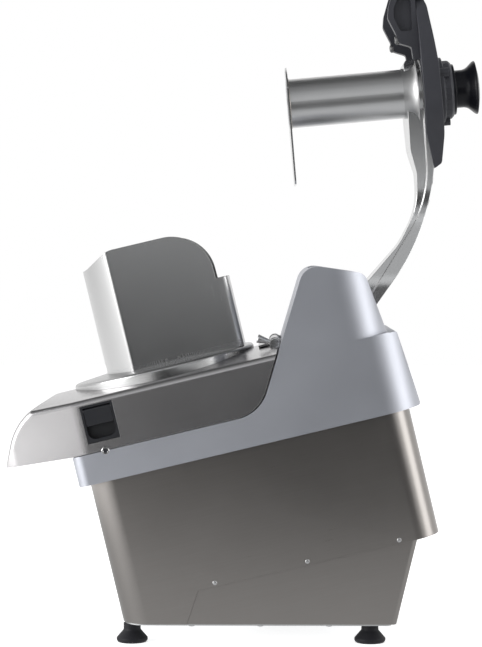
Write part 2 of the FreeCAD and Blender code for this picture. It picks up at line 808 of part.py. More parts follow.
def push_button(x, crown):
    """Round push button; the stop button stands a little prouder than the start button."""
    face = outline([(0, 0), (button_radius, 0), (button_radius, 7 + crown, 1.2), (0, 7 + crown)],
                   lambda p: V(p.x, 0, p.y))
    button = face.revolve(V(0, 0, 0), V(0, 0, 1), 360)
    button.rotate(V(0, 0, 0), V(1, 0, 0), 90)
    button.translate(V(x, casing_front + 5.5, button_z))
    return button


def ejector_disc():
    """Plastic disc with curved vanes that throws the cut food out."""
    hub = turned([(shaft_radius, 8), (95, 8, 1), (95, 11, 1), (30, 13, 6), (22, 36, 2), (22, 47), (14, 47),
                  (14, 44.5), (shaft_radius, 44.5)])
    vanes = []
    for turn in range(3):
        arc_outer = rod(60, 10, 27, 35, 35)
        arc_inner = rod(55.5, 9, 28, 35, 35)
        window = box(-20, 95, 5, 110, 0, 40).common(rod(92, 0, 40)).cut(rod(21, 0, 40))
        vane = arc_outer.cut(arc_inner).common(window)
        vane.rotate(V(0, 0, 0), V(0, 0, 1), 120 * turn)
        vanes += vane.Solids
    disc = joined([hub] + vanes)
    seat = cross_rod(2.6, -15.5, 15.5, 0, 15).fuse(box(-15.5, 15.5, -2.6, 2.6, 5, 15))
    return disc.cut(seat)


def cutting_disc():
    """Slicing disc with a slot before each blade and a stiffened hub."""
    high = disc_height + disc_thickness
    disc = turned([(6.05, disc_height - 2.5), (22, disc_height - 2.5), (22, disc_height),
                   (disc_radius, disc_height, 1), (disc_radius, high, 1), (27, high, 1), (24, high + 1.5, 1),
                   (6.05, high + 1.5)])
    slots = []
    for turn in range(3):
        slot = plan_prism([(14, 30, 4), (26, 34, 4), (22, 94, 5), (2, 97, 5)], 45, 70)
        slot.rotate(V(0, 0, 0), V(0, 0, 1), 120 * turn)
        slots.append(slot)
    return disc.cut(slots)


def slicing_blades():
    """Three thin blades that overhang the slots, each bevelled to its cutting edge."""
    low = disc_height + disc_thickness
    blades = []
    for turn in range(3):
        plan = [(-16, 27, 3), (9, 30), (16, 62), (9, 95), (-20, 96, 3), (-14, 62)]
        blade = plan_prism(plan, low, low + 1.6)
        bevel = side_prism([(20, low), (20, low + 3), (100, low + 3), (100, low)], 0, 14)
        bevel.rotate(V(9, 60, low), V(0, 1, 0), 9)
        bevel.translate(V(9, 0, 0.9))
        blade = blade.cut(bevel)
        blade.rotate(V(0, 0, 0), V(0, 0, 1), 120 * turn)
        blades.append(blade)
    return Part.makeCompound(blades)


def disc_knob():
    """Fluted knob that locks the disc on the shaft end."""
    low = disc_height + disc_thickness + 1.5
    knob = turned([(6.05, low), (16, low, 1), (16, low + 4, 1), (9, low + 7.5, 2), (6.05, low + 7.5)])
    flutes = [rod(3, low - 1, low + 12, 17.5 * math.cos(a), 17.5 * math.sin(a))
              for a in [i * math.pi / 4 for i in range(8)]]
    return knob.cut(flutes)


# Lever

def rim_side():
    """Side outline of the arm's rim, which follows the gooseneck, in the lowered position."""
    low_end = rim_low - rim_slope * (arm_root - rim_bend)
    high_end = rim_top - arm_slope * (arm_root - arm_bend)
    return [(arm_front, rim_top), (arm_front, rim_low), (rim_bend, rim_low, 130), (arm_root, low_end),
            (arm_root, high_end, 4), (arm_bend, rim_top, 250)]


def bowl_side():
    """Side outline of the arm's narrower bowl: deep at the head and the root, shallow at the neck."""
    front = arm_front + rim_step
    root = pivot_y + 11
    stub = pivot_y - 15
    return [(front, rim_top - 4), (front, bowl_low, 10), (54, bowl_low, 30), (82, bowl_low + 6, 30),
            (123, 211.4, 90), (163.4, 186.6, 90), (stub, 141.7, 14), (stub, pivot_z), (root, pivot_z),
            (root, rim_top - 4 - arm_slope * (root - arm_bend)), (arm_bend, rim_top - 4, 250)]


def arm_plan(inset):
    """Plan outline of the arm: broad head, narrow waist and broad root."""
    head = 64 - inset
    waist = 27 - inset
    root = hub_half - inset
    front = arm_front + inset
    right = [(head * 0.72, front, 24), (head, -10, 60), (waist, 112, 68), (waist + 1, 140, 68), (root, 205, 60),
             (root, 250)]
    left = [(-c[0],) + c[1:] for c in reversed(right)]
    return right + left


def arm_form(inset):
    """Rim and bowl of the arm before it is hollowed."""
    rim = side_prism(rim_side(), -80, 80, inset).common(plan_prism(arm_plan(inset), 90, 300))
    bowl = side_prism(bowl_side(), -80, 80, inset).common(plan_prism(arm_plan(inset + rim_step), 90, 300))
    return rim.fuse(bowl)


def lever_arm():
    """Pressed stainless arm: a narrow bowl in a stepped rim, open on the side away from the hopper."""
    room = arm_form(cover_sheet)
    raised_room = room.copy()
    raised_room.translate(V(0, 0, 2 * cover_sheet + 1))
    opening = room.fuse(raised_room).common(box(-90, 90, -100, 300, 140, 300))
    arm = arm_form(0).cut(opening)
    return arm.cut([cross_rod(hub_radius, -60, 60, pivot_y, pivot_z), tube_column(tube_radius, 0, 300)])


def tube_column(radius, low, high):
    return rod(radius, low, high, tube_x, tube_y)


def lever_hub():
    """Tube welded across the arm's root that carries the bushes."""
    return cross_rod(hub_radius, -hub_half, hub_half, pivot_y, pivot_z).cut(
        cross_rod(10.5, -60, 60, pivot_y, pivot_z))


def pivot_bushes():
    """Flanged bronze bushes in both ends of the hub."""
    bushes = []
    for side in (-1, 1):
        bush = cross_rod(10.5, side * 39 - 11, side * 39 + 11, pivot_y, pivot_z)
        flange = cross_rod(14, side * 51.2 - 1.2, side * 51.2 + 1.2, pivot_y, pivot_z)
        bushes.append(joined([bush, flange]).cut(cross_rod(pivot_shaft_radius + 0.04, -90, 90, pivot_y, pivot_z)))
    return Part.makeCompound(bushes)


def head_plate():
    """Moulded black plate over the arm's head, crowned and tapered to its rear tip."""
    side = [(-124, rim_low + 1, 1.5), (-126, 234.5, 4), (-112, 239.5, 20), (-40, head_top, 160),
            (40, head_top + 1, 80), (73, 243.5, 5), (79, 234, 2), (60, 231, 12), (36, rim_low + 1, 20)]
    right = [(52, -126, 20), (74, -70, 60), (74, 10, 60), (34, 84, 16)]
    plan = right + [(-c[0],) + c[1:] for c in reversed(right)]
    plate = side_prism(side, -80, 80).common(plan_prism(plan, 180, 260))
    plate = rounded_edges(plate, 1, lambda p, d: p.z > 231 and abs(p.x) > 30 and abs(d.x) < 0.9 and abs(d.z) < 0.7)
    seat = tube_column(43, head_top, head_top + 10)
    return plate.cut([arm_form(-0.3), seat, tube_column(tube_radius, 100, 300)])


def handle_grip():
    """Black bow handle: two side arms under the head plate and a round cross grip."""
    low = rim_low + 0.8
    profile = [(-50, low), (-50, 218.5, 3), (-65, 217.5, 4), (-70.5, 203.5, 4), (-83, 200, 7), (-101, 192.5, 10),
               (-114, 194.5, 12), (-150, 208, 30), (-181, 213, 9), (-184, 232, 9), (-150, 235.5, 12),
               (-127, 234.5, 2), (-127, low)]
    dish = [(-84, 206.5, 4), (-101, 199.5, 6), (-112, 200.5, 6), (-136, 212, 8), (-118, 221, 4), (-84, 220, 4)]
    arms = []
    for side in (-1, 1):
        arm = side_prism(profile, side * 52 - 7, side * 52 + 7)
        arms.append(arm.cut(side_prism(dish, side * 57 - 4, side * 57 + 4)))
    grip = cross_rod(11.5, -50, 50, -169.5, 222)
    spots = [rod(6.5, 190, screw_seat, side * screw_x, screw_y) for side in (-1, 1)]
    return joined(arms + [grip]).cut(spots + [arm_form(-0.3)])


def handle_screws():
    """Hex screws that hold the handle arms from below."""
    screws = []
    for side in (-1, 1):
        screws.append(hexagon(5, screw_seat - 4.2, screw_seat, side * screw_x, screw_y))
    return Part.makeCompound(screws)


def feed_tube():
    """Round stainless feed tube through the arm and head plate."""
    return tube_column(tube_radius, pusher_height, head_top).cut(tube_column(tube_radius - tube_wall, 0, 300))


def pusher_plate():
    """Thin plate that presses food in the hopper, welded to the feed tube."""
    plate = hopper_prism(pusher_gap, pusher_height, pusher_height + pusher_thickness)
    plate = plate.common(rod(pusher_reach, 0, 90))
    plate = plate.common(box(-90, 90, pusher_front, pusher_rear, 0, 90))
    return plate.cut(tube_column(tube_radius, 0, 100))


def tube_collar():
    """Stepped black collar that clamps the tube end above the head plate."""
    low = head_top
    collar = turned([(28.2, low), (39, low), (39, low + 5, 1.5), (34.5, low + 6, 1), (34.5, low + 13, 1.5),
                     (31.5, low + 16, 1), (28.2, low + 16)], (tube_x, tube_y))
    lugs = []
    for turn in range(3):
        angle = math.radians(120 * turn + 90)
        lug = rod(6, low, low + 11, tube_x + 36 * math.cos(angle), tube_y + 36 * math.sin(angle))
        lugs.append(lug)
    return joined([collar] + lugs).cut(tube_column(28.2, 200, 300))


def pestle():
    """Pestle of the feed tube with a flared knob and a seat flange."""
    low = head_top + 16
    top = pestle_top
    return turned([(0, pusher_height + 1), (24, pusher_height + 1, 2), (pestle_radius, pusher_height + 6.6, 2),
                   (pestle_radius, low + 0.1), (30, low + 0.1), (30, low + 3, 1), (22.3, low + 3, 2),
                   (22.3, top - 15, 12), (30.5, top - 6, 4), (32, top - 3, 1), (20, top - 0.5, 10), (0, top)],
                  (tube_x, tube_y))


# Cord gland on the base plate

def cable_gland():
    """Gland under the base plate for a mains cord, with its clamping dome."""
    low = stand_height - plate_thickness
    collar = hexagon(12, low - 5, low, gland_x, gland_y)
    dome = turned([(gland_bore, low - 14), (7, low - 14, 1), (10, low - 9, 3), (10, low - 5), (gland_bore, low - 5)],
                  (gland_x, gland_y))
    stem = rod(8, low, stand_height + 9, gland_x, gland_y)
    return joined([collar, dome, stem]).cut(rod(gland_bore, 0, 60, gland_x, gland_y))


def gland_nut():
    """Nut of the gland above the base plate."""
    return hexagon(12, stand_height, stand_height + 5, gland_x, gland_y).cut(rod(8, 0, 60, gland_x, gland_y))


def build():
    """Every piece by its node name, in the machine's own frame."""
    nodes = {}
    names = ("foot_front_left", "foot_front_right", "foot_rear_left", "foot_rear_right")
    for name, (x, y) in zip(names, foot_places()):
        nodes[name] = foot(x, y)
    nodes["foot_bolts"] = foot_bolts()
    nodes["base_plate"] = base_plate()
    nodes["cable_gland"] = cable_gland()
    nodes["gland_nut"] = gland_nut()

    fixed = {"seam_rivets": seam_rivets, "stand_shell": stand_shell,
             "body_casting": body_casting, "side_pins": side_pins, "hinge_bracket": hinge_bracket,
             "hinge_pin": hinge_pin, "pivot_shaft": pivot_shaft, "retaining_rings": retaining_rings,
             "lever_stop_buffers": lever_stop_buffers, "safety_switch": safety_switch,
             "front_cover": front_cover, "hinge_strap": hinge_strap, "feed_hopper": feed_hopper,
             "release_lever": release_lever, "drive_shaft": drive_shaft, "shaft_bearings": bearings,
             "bearing_housing": bearing_housing, "shaft_seal": shaft_seal, "drive_pulley": drive_pulley,
             "motor_pulley": motor_pulley, "drive_belt": drive_belt, "motor_housing": motor_housing,
             "motor_end_bells": motor_end_bells, "motor_shaft": motor_shaft, "cooling_fan": cooling_fan,
             "motor_plate": motor_plate, "run_capacitor": capacitor, "control_box": control_box,
             "button_bezel": button_bezel, "ejector_disc": ejector_disc, "cutting_disc": cutting_disc,
             "slicing_blades": slicing_blades, "disc_knob": disc_knob}
    nodes["motor_casing"] = motor_casing()
    for name, make in fixed.items():
        nodes[name] = tilted(make())
    nodes["start_button"] = tilted(push_button(-button_x, 0.0))
    nodes["stop_button"] = tilted(push_button(button_x, 0.6))

    nodes["catch_pins"] = tilted(both_sides(catch_pin()))
    nodes["catch_forks"] = tilted(both_sides(catch_fork()))
    sided = {"catch_frame": catch_frame, "catch_paddle": catch_paddle}
    for name, make in sided.items():
        nodes[name + "_left"] = tilted(mirrored(make()))
        nodes[name + "_right"] = tilted(make())

    swung = {"lever_arm": lever_arm, "lever_hub": lever_hub, "pivot_bushes": pivot_bushes,
             "head_plate": head_plate, "handle_grip": handle_grip, "handle_screws": handle_screws,
             "feed_tube": feed_tube, "pusher_plate": pusher_plate, "tube_collar": tube_collar, "pestle": pestle}
    for name, make in swung.items():
        nodes[name] = raised(make())
    return nodes


os.makedirs("parts", exist_ok=True)
for node_name, node_shape in build().items():
    node_shape.exportStep(os.path.join("parts", node_name + ".step"))
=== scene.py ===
import json
import math

import bmesh
import bpy
from mathutils import Matrix, Vector

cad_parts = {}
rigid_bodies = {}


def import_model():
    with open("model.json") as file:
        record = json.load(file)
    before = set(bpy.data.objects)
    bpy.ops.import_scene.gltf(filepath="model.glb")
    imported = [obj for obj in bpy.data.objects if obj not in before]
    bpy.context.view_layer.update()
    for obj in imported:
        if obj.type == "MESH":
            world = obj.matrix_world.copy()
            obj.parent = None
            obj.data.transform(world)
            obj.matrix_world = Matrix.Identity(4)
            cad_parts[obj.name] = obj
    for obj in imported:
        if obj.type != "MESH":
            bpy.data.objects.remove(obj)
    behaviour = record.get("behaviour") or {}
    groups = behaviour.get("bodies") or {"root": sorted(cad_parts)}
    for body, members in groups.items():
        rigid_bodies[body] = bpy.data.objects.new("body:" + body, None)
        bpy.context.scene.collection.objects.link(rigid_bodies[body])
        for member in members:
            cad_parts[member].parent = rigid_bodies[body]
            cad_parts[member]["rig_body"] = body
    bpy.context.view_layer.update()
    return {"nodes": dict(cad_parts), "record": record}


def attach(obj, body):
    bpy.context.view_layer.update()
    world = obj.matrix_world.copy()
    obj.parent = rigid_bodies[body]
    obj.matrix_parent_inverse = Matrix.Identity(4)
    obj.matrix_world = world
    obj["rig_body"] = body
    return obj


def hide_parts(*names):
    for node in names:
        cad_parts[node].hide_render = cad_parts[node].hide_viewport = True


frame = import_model()

bl_info = {
    "name": "Vegetable cutting machine",
    "version": (1, 0, 0),
    "blender": (4, 5, 0),
    "location": "3D View > Sidebar > Cutter",
    "description": "Finishes and small parts of a table-top vegetable cutting machine",
    "category": "Object",
}

MM = 0.001
TILT = math.radians(13.5)
SEAT = Vector((0.0, -0.0793, 0.2455))
SWING = math.radians(98.5)
LEVER_PIVOT = Vector((0.0, 222.0, 106.5))
TUBE_CENTRE = (30.0, -13.0)
TUBE_RADIUS = 29.5
TUBE_LEAN = TILT - SWING + math.pi / 2

# Angles between faces above which a mesh keeps a hard edge.
SKIN_CREASE = math.radians(32)
PIECE_CREASE = math.radians(35)
FLARE_CREASE = math.radians(50)


def tilted_matrix():
    """From the leaning frame of the upper machine, in millimetres, to the machine's frame, in metres."""
    return Matrix.Translation(SEAT) @ Matrix.Rotation(TILT, 4, "X") @ Matrix.Scale(MM, 4)


def raised_matrix():
    """From the lever's lowered position in the leaning frame to its open rest position."""
    to_pivot = Matrix.Translation(LEVER_PIVOT)
    return tilted_matrix() @ to_pivot @ Matrix.Rotation(-SWING, 4, "X") @ to_pivot.inverted()


class Signal:
    """One value in a node tree; arithmetic on it adds Math nodes."""

    def __init__(self, work, socket):
        self.work = work
        self.socket = socket

    def _math(self, operation, first, second):
        return self.work.add("ShaderNodeMath", {"operation": operation}, {0: first, 1: second})

    def __add__(self, other):
        return self._math("ADD", self, other)

    def __mul__(self, other):
        return self._math("MULTIPLY", self, other)

    def __sub__(self, other):
        return self._math("SUBTRACT", self, other)

    def __rsub__(self, other):
        return self._math("SUBTRACT", other, self)

    def __rtruediv__(self, other):
        return self._math("DIVIDE", other, self)

    def most(self, other):
        """The larger of two values."""
        return self._math("MAXIMUM", self, other)

    def __gt__(self, other):
        return self._math("GREATER_THAN", self, other)

    __radd__ = __add__


class NodeWork:
    """A node tree under construction."""

    def __init__(self, tree):
        self.tree = tree

    def add(self, kind, settings, inputs, output=0):
        """Adds a node: its settings first, then the values or links of its sockets."""
        node = self.tree.nodes.new(kind)
        for name, value in settings.items():
            setattr(node, name, value)
        for name, value in inputs.items():
            self.feed(node.inputs[name], value)
        return Signal(self, node.outputs[output])

    def feed(self, socket, value):
        """Links a signal to a socket, or sets the socket to a plain value."""
        if isinstance(value, Signal):
            self.tree.links.new(value.socket, socket)
        else:
            socket.default_value = value

    def mix(self, factor, first, second):
        """Blend of two colours."""
        return self.add("ShaderNodeMix", {"data_type": "RGBA"}, {0: factor, 6: first, 7: second}, 2)

    def seen(self):
        """1 for rays of the camera, of reflections and through glass, 0 for light that falls on things."""
        rays = self.add("ShaderNodeLightPath", {}, {}, "Is Camera Ray")
        for kind in ("Is Glossy Ray", "Is Transmission Ray"):
            rays = rays.most(self.add("ShaderNodeLightPath", {}, {}, kind))
        return rays


finishes = {}


class Finish(NodeWork):
    """A material under construction round one Principled shader, kept by name in the finishes."""

    def __init__(self, name, metallic=0.0, **fixed):
        self.material = bpy.data.materials.new(name)
        self.material.use_nodes = True
        finishes[name] = self.material
        super().__init__(self.material.node_tree)
        self.shader = self.tree.nodes["Principled BSDF"]
        self.set("Metallic", metallic)
        for socket, value in fixed.items():
            self.set(socket.replace("_", " "), value)

    def set(self, name, value):
        """Feeds one socket of the shader."""
        self.feed(self.shader.inputs[name], value)

    def place(self, lean=0.0, grain=(1.0, 1.0, 1.0), centre=(0.0, 0.0, 0.0)):
        """Object coordinates about a centre, levelled from a lean and then stretched by a grain."""
        coordinates = self.add("ShaderNodeTexCoord", {}, {}, 3)
        size = tuple(1.0 / value for value in grain)
        turn = (lean, 0.0, 0.0)
        return self.add("ShaderNodeMapping", {"vector_type": "TEXTURE"},
                        {"Vector": coordinates, "Location": centre, "Rotation": turn, "Scale": size})

    def noise(self, where, scale=1.0, detail=2.0, roughness=0.5):
        return self.add("ShaderNodeTexNoise", {},
                        {"Vector": where, "Scale": scale, "Detail": detail, "Roughness": roughness})

    def rings(self, centre, scale):
        """Fine turning marks about the drive axis."""
        return self.add("ShaderNodeTexWave", {"wave_type": "RINGS", "rings_direction": "Z"},
                        {"Vector": self.place(TILT, centre=centre), "Scale": scale, "Distortion": 0.6,
                         "Detail": 2.0, "Detail Scale": 4.0})

    def bump(self, height, strength, distance):
        self.set("Normal", self.add("ShaderNodeBump", {},
                                    {"Height": height, "Strength": strength, "Distance": distance}))


def grey(value):
    return (value, value, value, 1.0)


def between(value, low, high):
    """A value from 0 to 1 moved to the range from low to high."""
    return value * (high - low) + low


# Brushing marks for each metre across and along the grain, and how much wider the faint bands are.
FINE_ACROSS = 2400.0
FINE_ALONG = 22.0
BAND_WIDTH = 4.0
ALONG_SLOPE = (FINE_ACROSS, FINE_ALONG, FINE_ACROSS)
UPRIGHT = (FINE_ACROSS, FINE_ACROSS, FINE_ALONG)
CROSSWISE = (FINE_ALONG, FINE_ACROSS, FINE_ACROSS)
# Scale of the wave texture that draws the turning marks.
SHEET_RINGS = 420.0
LATHE_RINGS = 500.0


def brushed_steel(name, dark, light, lean, grain, roughness, turned_below=None):
    """Stainless sheet brushed along one direction, with soft handling marks.

    Where a height up the drive axis is given, the metal below it is brushed in rings instead.
    """
    finish = Finish(name, metallic=1.0)
    streaks = finish.noise(finish.place(lean, grain), detail=5.0, roughness=0.65)
    bands = finish.noise(finish.place(lean, tuple(value / BAND_WIDTH for value in grain)), detail=3.0)
    if turned_below is not None:
        levelled = finish.place(TILT, centre=tuple(SEAT))
        height = finish.add("ShaderNodeSeparateXYZ", {}, {"Vector": levelled}, 2)
        upper = height > turned_below
        rings = finish.rings(tuple(SEAT), SHEET_RINGS)
        streaks = upper * streaks + (1 - upper) * rings
    cloud = finish.noise(finish.place(), 7.0, detail=4.0, roughness=0.6)
    tone = streaks * 0.4 + bands * 0.15 + cloud * 0.45
    finish.set("Base Color", finish.mix(tone, dark, light))
    finish.set("Roughness", between(streaks * 0.5 + cloud * 0.5, roughness - 0.05, roughness + 0.05))
    finish.bump(streaks, 0.35, 0.0001)


def cast_metal(name, dark, light, roughness, size, depth):
    """Blasted casting or plain plating: a fine even grain over slow changes of tone."""
    finish = Finish(name, metallic=1.0)
    where = finish.place()
    grain = finish.noise(where, size, detail=3.0, roughness=0.65)
    cloud = finish.noise(where, 9.0, detail=4.0, roughness=0.6)
    finish.set("Base Color", finish.mix(grain * 0.3 + cloud * 0.7, dark, light))
    finish.set("Roughness", between(grain * 0.4 + cloud * 0.6, roughness - 0.06, roughness + 0.08))
    finish.bump(grain, depth, 0.0002)


def turned_metal(name, dark, light, roughness, scale):
    """Lathe-turned metal with fine rings about the drive axis."""
    finish = Finish(name, metallic=1.0)
    marks = finish.rings(tuple(SEAT), scale)
    cloud = finish.noise(finish.place(), 20.0, detail=3.0)
    finish.set("Base Color", finish.mix(marks * 0.5 + cloud * 0.5, dark, light))
    finish.set("Roughness", between(marks * 0.6 + cloud * 0.4, roughness - 0.05, roughness + 0.07))
    finish.bump(marks, 0.08, 0.0001)


def moulded(name, dark, light, roughness, grain, depth, coat=0.0, specular=0.5):
    """Moulded plastic or rubber with a fine spark-eroded grain and faint handling sheen."""
    finish = Finish(name, Coat_Weight=coat, Coat_Roughness=0.25, Specular_IOR_Level=specular)
    where = finish.place()
    fine = finish.noise(where, grain, detail=4.0, roughness=0.6)
    cloud = finish.noise(where, 16.0, detail=4.0, roughness=0.65)
    finish.set("Base Color", finish.mix(fine * 0.35 + cloud * 0.65, dark, light))
    finish.set("Roughness", between(fine * 0.5 + cloud * 0.5, roughness - 0.1, roughness + 0.12))
    finish.bump(fine, depth, 0.00025)


def sintered_bronze(name, dark, light, roughness):
    """Sintered bronze with open pores."""
    finish = Finish(name, metallic=1.0)
    pores = finish.add("ShaderNodeTexVoronoi", {}, {"Vector": finish.place(), "Scale": 900.0})
    finish.set("Base Color", finish.mix(pores, dark, light))
    finish.set("Roughness", between(pores, roughness, roughness + 0.15))
    finish.bump(pores, 0.15, 0.0002)


def weld_metal(name):
    """Weld bead, a little heat-tinted between its ripples."""
    finish = Finish(name, metallic=1.0)
    tint = finish.noise(finish.place(), 260.0, detail=3.0)
    finish.set("Base Color", finish.mix(tint, (0.36, 0.33, 0.30, 1.0), (0.60, 0.58, 0.55, 1.0)))
    finish.set("Roughness", between(tint, 0.28, 0.5))
    finish.bump(tint, 0.1, 0.0002)


class Repeat(NodeWork):
    """A Geometry Nodes tree under construction, with named inputs for its sizes."""

    def __init__(self, name, inputs):
        super().__init__(bpy.data.node_groups.new(name, "GeometryNodeTree"))
        self.new_socket("Geometry", "INPUT", "Geometry")
        self.identifiers = {label: self.new_socket(label, "INPUT", kind) for label, kind in inputs.items()}
        self.new_socket("Geometry", "OUTPUT", "Geometry")
        outputs = self.tree.nodes.new("NodeGroupInput").outputs
        self.given = {socket.name: Signal(self, socket) for socket in outputs}
        self.result = self.tree.nodes.new("NodeGroupOutput").inputs[0]

    def new_socket(self, label, in_out, kind):
        """Adds a socket to the outside of the tree and returns its identifier."""
        kind = "NodeSocket" + kind
        return self.tree.interface.new_socket(label, in_out=in_out, socket_type=kind).identifier

    def end(self, geometry):
        """Makes the copies real, gives them the finish and closes the tree."""
        whole = self.add("GeometryNodeRealizeInstances", {}, {"Geometry": geometry})
        finished = {"Geometry": whole, "Material": self.given["Finish"]}
        self.feed(self.result, self.add("GeometryNodeSetMaterial", {}, finished))

    def make(self, piece, start, values, body, slot, matrix):
        """Runs the tree on a start mesh and leaves a plain mesh that rides on a body."""
        work = bpy.data.objects.new(piece + "_start", start)
        bpy.context.collection.objects.link(work)
        modifier = work.modifiers.new("repeat", "NODES")
        modifier.node_group = self.tree
        for label, value in values.items():
            modifier[self.identifiers[label]] = value
        evaluated = work.evaluated_get(bpy.context.evaluated_depsgraph_get())
        mesh = bpy.data.meshes.new_from_object(evaluated)
        bpy.data.objects.remove(work)
        if not mesh.polygons:
            raise RuntimeError(piece + " came out empty")
        mesh.transform(matrix)
        mesh.polygons.foreach_set("use_smooth", [True] * len(mesh.polygons))
        mesh.set_sharp_from_angle(angle=PIECE_CREASE)
        return place_piece(piece, mesh, body)


def heads_tree():
    """One head on every point, each turned by the point's own angles."""
    tree = Repeat("heads", {"Head": "Object", "Size": "Float", "Finish": "Material"})
    head = tree.add("GeometryNodeObjectInfo", {}, {"Object": tree.given["Head"]}, 4)
    turn = tree.add("GeometryNodeInputNamedAttribute", {"data_type": "FLOAT_VECTOR"}, {"Name": "turn"})
    tree.end(tree.add("GeometryNodeInstanceOnPoints", {},
                      {"Points": tree.given["Geometry"], "Instance": head, "Rotation": turn,
                       "Scale": tree.given["Size"]}))
    return tree


def bead_tree():
    """A rippled weld bead along a closed run of edges."""
    tree = Repeat("bead", {"Radius": "Float", "Ripple": "Float", "Finish": "Material"})
    run = tree.add("GeometryNodeMeshToCurve", {}, {"Mesh": tree.given["Geometry"]})
    ripple = tree.given["Ripple"]
    width = tree.add("FunctionNodeRandomValue", {"data_type": "FLOAT"},
                     {2: 1 - ripple, 3: 1 + ripple, "Seed": 5}, 1)
    run = tree.add("GeometryNodeSetCurveRadius", {}, {"Curve": run, "Radius": width})
    section = tree.add("GeometryNodeCurvePrimitiveCircle", {"mode": "RADIUS"},
                       {"Resolution": 8, "Radius": tree.given["Radius"]})
    tree.end(tree.add("GeometryNodeCurveToMesh", {},
                      {"Curve": run, "Profile Curve": section, "Scale": width, "Fill Caps": False}))
    return tree


def wheel_tree():
    """Equal pieces set round an axis, like the grip ribs of a collar."""
    tree = Repeat("wheel", {"Piece": "Object", "Count": "Int", "Radius": "Float", "Finish": "Material"})
    count = tree.given["Count"]
    circle = tree.add("GeometryNodeMeshCircle", {}, {"Vertices": count, "Radius": tree.given["Radius"]})
    piece = tree.add("GeometryNodeObjectInfo", {}, {"Object": tree.given["Piece"]}, 4)
    index = tree.add("GeometryNodeInputIndex", {}, {})
    turn = tree.add("ShaderNodeCombineXYZ", {}, {"Z": index * (2 * math.pi / count)})
    tree.end(tree.add("GeometryNodeInstanceOnPoints", {},
                      {"Points": circle, "Instance": piece, "Rotation": turn}))
    return tree


def points_mesh(places):
    """Loose points with a turn, from (x, y, z, (turn about x, y, z)) rows in millimetres and radians."""
    mesh = bpy.data.meshes.new("places")
    mesh.from_pydata([place[:3] for place in places], [], [])
    turns = mesh.attributes.new("turn", "FLOAT_VECTOR", "POINT")
    for i, place in enumerate(places):
        turns.data[i].vector = place[3]
    return mesh


def loop_mesh(points):
    """Closed run of edges through points."""
    mesh = bpy.data.meshes.new("loop")
    count = len(points)
    mesh.from_pydata(points, [(i, (i + 1) % count) for i in range(count)], [])
    return mesh


def circle_points(radius, height, centre, count=64):
    points = []
    for i in range(count):
        turn = 2 * math.pi * i / count
        points.append((centre[0] + radius * math.cos(turn), centre[1] + radius * math.sin(turn), height))
    return points


class pattern_piece:
    """A small mesh object that a tree repeats, removed again afterwards."""

    def __init__(self, mesh):
        self.object = bpy.data.objects.new(mesh.name, mesh)

    def __enter__(self):
        bpy.context.collection.objects.link(self.object)
        return self.object

    def __exit__(self, *error):
        bpy.data.objects.remove(self.object)


def turned_mesh(name, profile, steps=20):
    """A profile of (radius, height) corners turned about the Z axis, closed at both ends."""
    work = bmesh.new()
    chain = [work.verts.new((radius, 0.0, height)) for radius, height in profile]
    edges = [work.edges.new(pair) for pair in zip(chain, chain[1:])]
    bmesh.ops.spin(work, geom=chain + edges, axis=(0, 0, 1), cent=(0, 0, 0), angle=2 * math.pi,
                   steps=steps)
    bmesh.ops.remove_doubles(work, verts=work.verts, dist=0.001)
    bmesh.ops.recalc_face_normals(work, faces=work.faces)
    mesh = bpy.data.meshes.new(name)
    work.to_mesh(mesh)
    work.free()
    return mesh


def rib_mesh(depth, width, height):
    """One grip rib: a bar with a rounded back that stands out from its radius."""
    half, root = width / 2, -0.6
    shoulder, crown, taper = depth * 0.6, half * 0.4, 0.85
    outline = [(root, -half), (shoulder, -half), (depth, -crown), (depth, crown), (shoulder, half),
               (root, half)]
    work = bmesh.new()
    low = [work.verts.new((x, y, 0.0)) for x, y in outline]
    high = [work.verts.new((x * taper, y * taper, height)) for x, y in outline]
    work.faces.new(list(reversed(low)))
    work.faces.new(high)
    for i in range(len(outline)):
        j = (i + 1) % len(outline)
        work.faces.new((low[i], low[j], high[j], high[i]))
    mesh = bpy.data.meshes.new("rib")
    work.to_mesh(mesh)
    work.free()
    return mesh


def place_piece(name, mesh, body):
    """Links a finished mesh at the origin and lets it ride on a body."""
    mesh.name = name
    piece = bpy.data.objects.new(name, mesh)
    bpy.context.collection.objects.link(piece)
    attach(piece, body)
    return piece


def slot_of(node):
    """The record's material slot of a construction piece."""
    for part in frame["record"]["subparts"]:
        if part["node"] == node:
            return part["material_slot"]
    raise RuntimeError("no construction piece named " + node)


